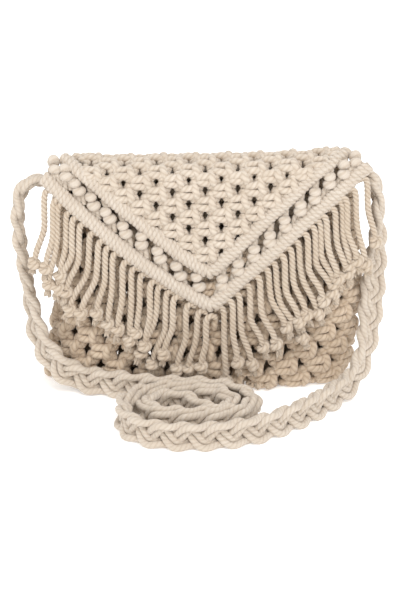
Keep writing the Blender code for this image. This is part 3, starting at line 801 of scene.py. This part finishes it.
def build_border(name, node, left, tip, right, sag, chance):
    """One border round its V, as the piece that replaces the node."""
    left, tip, right = (np.array(corner) for corner in (left, tip, right))
    into = tip + (left - tip) / np.linalg.norm(left - tip) * TIP_BEND
    out_of = tip + (right - tip) / np.linalg.norm(right - tip) * TIP_BEND
    share = np.linspace(0, 1, 7)[:, None]
    bend = (1 - share) ** 2 * into + 2 * share * (1 - share) * tip + share**2 * out_of
    line = spread_evenly(np.vstack([left, bend, right]), 0.5 * MM)
    line[:, 1] -= sag_at(line[:, 0], left, tip, sag)
    along = unit(np.gradient(line, axis=0))
    across = np.column_stack([-along[:, 1], along[:, 0]])
    run = lengths_along(line)
    bundle = Bundle()
    bundle.add_rope(on_flap(line[::4, 0], line[::4, 1], BORDER_MIDDLE), BORDER_CORE)
    wraps = int(run[-1] / BORDER_WRAP)
    steps = 14
    at = np.linspace(0.8 * MM, run[-1] - 0.8 * MM, wraps * steps)
    turn = np.arange(len(at)) / steps * 2 * math.pi
    slack = [chance.uniform(*WRAP_SLACK) for _ in range(wraps // 2)]
    slack = np.interp(at, np.linspace(0, run[-1], wraps // 2), slack)
    x, up, across_x, across_up = (np.interp(at, run, column) for column in (*line.T, *across.T))
    aside = BORDER_ACROSS * slack * np.cos(turn)
    out = BORDER_MIDDLE + BORDER_OUT * slack * np.sin(turn)
    bundle.add_rope(on_flap(x + across_x * aside, up + across_up * aside, out), WRAP_ROPE)
    border = bundle.finish(name, border_cotton)
    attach(border, "root")
    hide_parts(node)


build_border("inner_rope_border", "inner_border", *INNER_V, chance)
build_border("outer_rope_border", "outer_border", *OUTER_V, chance)

# Berry knots stand in the channel between the borders. Each is two short rounded bars of cotton
# rope, one over the other, and three ropes run down from it to the outer border. The knot at the
# V's tip stands so close over the border that none shows there.
BERRIES = {
    # across and up the flap in millimetres: the upper bar, then the lower one
    "left": (
        (-105, 169.7, -104, 163.0),
        (-97, 163.4, -96, 158.5),
        (-90, 153.2, -87, 148.2),
        (-79, 143.3, -77, 137.9),
        (-69, 132.9, -66, 128.4),
        (-57, 122.7, -55, 117.9),
        (-44, 115.5, -44, 110.5),
        (-33, 105.7, -31, 101.0),
        (-20, 95.2, -17, 88.6),
        (-6, 86.9, -4, 80.6),
    ),
    "right": (
        (104, 169.0, 104, 163.5),
        (96, 162.1, 96, 154.9),
        (86, 152.9, 86, 148.4),
        (76, 143.0, 76, 138.7),
        (66, 134.7, 66, 130.8),
        (55, 124.3, 56, 119.9),
        (45, 114.5, 45, 110.3),
        (34, 105.6, 34, 100.9),
        (23, 96.2, 23, 91.5),
        (12, 85.4, 12, 80.8),
    ),
}
BERRY_ROPE = 6.4 * MM
BERRY_MIDDLE = 5.4 * MM
BERRY_END = 0.7  # share of the thickness at a bar's ends
UPPER_HALF_LENGTH = 1.2 * MM
LOWER_HALF_LENGTH = 1.7 * MM
LOWER_DROP = 0.6 * MM  # the lower bars sag this far
BERRY_ARCH = (
    # share of the half length, and off the flap in rope thicknesses
    (0.9, -0.62),
    (1.0, -0.1),
    (0.55, 0.16),
    (0, 0.22),
    (-0.55, 0.16),
    (-1.0, -0.1),
    (-0.9, -0.62),
)
LEGS = (-3.6, -0.6, 2.6)  # in millimetres, how far aside of its berry each leg runs
LEG_ROPE = 4.2 * MM
LEG_LIFT = 2.8 * MM
TIP_REACH = 8  # berries closer to the tip have no legs
OVER_OUTER = 1 * MM  # a leg ends this far over the outer border's middle


def add_berry_bar(bundle, x, up, half_length):
    """A short fat bar: the rope comes out of the knot, crosses it and goes in again."""
    points = [
        (x + across * half_length, up, BERRY_MIDDLE + out * BERRY_ROPE) for across, out in BERRY_ARCH
    ]
    line = on_flap(*curve_through(points, 3).T)
    bundle.add_rope(line, BERRY_ROPE, 12, ends=(BERRY_END, BERRY_END))


for side, rows in BERRIES.items():
    berries = Bundle()
    for upper_x, upper_up, lower_x, lower_up in rows:
        add_berry_bar(berries, upper_x * MM, upper_up * MM, UPPER_HALF_LENGTH)
        add_berry_bar(berries, lower_x * MM, lower_up * MM - LOWER_DROP, LOWER_HALF_LENGTH)
        for leg in LEGS if abs(upper_x) > TIP_REACH else ():
            x = np.array([upper_x + leg * 0.5, lower_x, lower_x + leg, lower_x + leg * 1.3]) * MM
            up = np.array([upper_up + 8, lower_up, lower_up - 5.5, lower_up - 11]) * MM
            # A leg ends under the outer border and starts under the inner one.
            above_outer = arm_distance(x, up, *OUTER_V)
            up = up - np.minimum(above_outer - OVER_OUTER, 0) * UP_PER_ARM
            above_inner = arm_distance(x, up, *INNER_V)
            up = up - np.maximum(above_inner, 0)
            line = curve_through(np.column_stack([x, up]), 4)
            berries.add_rope(on_flap(line[:, 0], line[:, 1], LEG_LIFT), LEG_ROPE)
    piece = berries.finish(f"berries_{side}", border_cotton)
    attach(piece, "root")
    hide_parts(f"berry_knots_{side}")

# The fringe is the ends of the outer border's cotton ropes. They hang over the pouch, splay towards
# the sides, and each ends in a tight overhand knot with a short brushed tip.
FRINGE = {
    # in millimetres: where a rope leaves the border, then its knot's place across and up
    "left": (
        (-111, -119, 94),
        (-105, -111, 91),
        (-102, -109, 80),
        (-96, -101, 86),
        (-92, -103, 78),
        (-87, -97, 75),
        (-80, -95, 63),
        (-74, -87, 61),
        (-69, -76, 61),
        (-64, -68, 53),
        (-57, -61, 50),
        (-51, -53, 42),
        (-45, -48, 47),
        (-38, -42, 38),
        (-33, -45, 32),
        (-27, -37, 24),
        (-22, -29, 32),
        (-13, -20, 20),
        (-5, -12, 20),
        (1, -3, 22),
    ),
    "right": (
        (13, 15, 11),
        (19, 23, 25),
        (24, 33, 24),
        (31, 41, 36),
        (38, 50, 39),
        (44, 57, 51),
        (49, 68, 43),
        (55, 66, 56),
        (60, 71, 60),
        (65, 79, 61),
        (71, 83, 70),
        (76, 89, 75),
        (80, 90, 81),
        (84, 93, 85),
        (90, 99, 88),
        (95, 101, 93),
        (98, 106, 97),
        (104, 112, 94),
        (112, 119, 109),
    ),
}
FRINGE_ROPE = 4.5 * MM
FRINGE_LIFT = 4.6 * MM
FRINGE_LAYERS = (0, 1.6 * MM, 0.6 * MM)  # neighbours lie over and under each other
FRINGE_ARCH = (
    # how a rope comes out from under the border and bends over to hang, in millimetres: outwards
    # from its place, and up from the border's middle
    (-6.5, -10.5),
    (-3.2, -8.6),
    (-0.6, -10.2),
    (0.3, -14.5),
)
FRINGE_BOW = (0.15, 0.5)  # how early a rope swings over towards its knot
END_KNOT_ROPE = 4.5 * MM
END_KNOT_LENGTH = 5.6 * MM
END_KNOT_TURNS = 1.75
KNOT_WRAP = 2.7 * MM  # the knot's turns lie this far off its middle
KNOT_SLANT = 0.9 * MM  # and run this far up and down
TUFT_STRANDS = 9
TUFT_STRAND = 1.9 * MM
TUFT_START = 3.4 * MM  # below the knot's middle
TUFT_LENGTH = (4.0 * MM, 6.8 * MM)
TUFT_SPLAY = 2.2 * MM
TUFT_HALF_WIDTH = 1.2 * MM
TUFT_DEPTH = 1.6 * MM

fringe_cotton = cotton_rope(
    "fringe cotton",
    light=(0.62, 0.535, 0.44),
    shade=(0.49, 0.385, 0.28),
    groove_shade=(0.36, 0.265, 0.18),
    twist=0.4,
)


def outer_edge(x):
    """How far up the flap the outer border's middle lies."""
    across, ups = zip(OUTER_LEFT, OUTER_TIP, OUTER_RIGHT)
    return float(np.interp(x, across, ups) - sag_at(x, OUTER_LEFT, OUTER_TIP, OUTER_SAG))


def add_fringe_rope(bundle, root_x, knot_x, knot_z, layer, chance):
    """One rope of the fringe with its knot and its tuft, from the border down to the knot's place."""
    outwards = -1 if root_x * MM < OUTER_TIP[0] else 1
    edge = outer_edge(root_x * MM)
    arch = [
        np.array([(root_x + aside * outwards) * MM, edge + up * MM]) for aside, up in FRINGE_ARCH
    ]
    top = arch[-1]
    knot_x, knot_z = knot_x * MM, knot_z * MM
    knot = np.array([knot_x, knot_z / (1 + TOP_SLANT * knot_x / POUCH_HEIGHT)])
    hang = knot - top
    bow = chance.uniform(*FRINGE_BOW)
    swing = [top + hang * share for share in ((0.12 * bow, 0.25), (0.5 * bow, 0.5), (0.75, 0.8))]
    line = spread_evenly(curve_through([*arch, *swing, knot], 10), 0.75 * MM)
    rope_lift = FRINGE_LIFT + layer
    lifts = [SEAT + 3 * MM, rope_lift, rope_lift]
    lift = np.interp(np.linspace(0, 1, len(line)), [0, 0.12, 1], lifts)
    rope = on_flap(line[:, 0], line[:, 1], lift)
    bundle.add_rope(rope, FRINGE_ROPE, 12, carved=True, ends=(1, 0.75))

    down = (knot - line[-6]) / np.linalg.norm(knot - line[-6])
    aside = np.array([-down[1], down[0]])
    wrap = np.linspace(0, 1, 34)
    turn = wrap * END_KNOT_TURNS * 2 * math.pi + chance.uniform(0, 6)
    wide = KNOT_WRAP * np.minimum(1, np.minimum(wrap, 1 - wrap) * 5) ** 0.6
    at = knot + np.outer((wrap - 0.5) * END_KNOT_LENGTH + np.sin(turn) * KNOT_SLANT, down)
    at += np.outer(wide * np.cos(turn) * 1.05, aside)
    knot_lift = rope_lift + 0.6 * MM
    turns = on_flap(at[:, 0], at[:, 1], knot_lift + wide * np.sin(turn))
    bundle.add_rope(turns, END_KNOT_ROPE, 10, ends=(0.5, 0.6))

    for _ in range(TUFT_STRANDS):
        length = chance.uniform(*TUFT_LENGTH)
        splay = chance.uniform(-TUFT_SPLAY, TUFT_SPLAY)
        start = knot + down * TUFT_START + aside * chance.uniform(-TUFT_HALF_WIDTH, TUFT_HALF_WIDTH)
        tuft = start + np.outer(np.linspace(0, 1, 5) ** 1.3, down * length + aside * splay)
        lift = knot_lift + np.linspace(0, chance.uniform(-TUFT_DEPTH, TUFT_DEPTH), 5)
        strand = on_flap(tuft[:, 0], tuft[:, 1], np.maximum(lift, 1.2 * MM))
        bundle.add_rope(strand, TUFT_STRAND, 6, ends=(1.0, 0.35))


for side, rows in FRINGE.items():
    fringe = Bundle()
    for number, row in enumerate(rows):
        add_fringe_rope(fringe, *row, FRINGE_LAYERS[number % 3], chance)
    piece = fringe.finish(f"rope_fringe_{side}", fringe_cotton)
    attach(piece, "root")
    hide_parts(f"fringe_{side}")
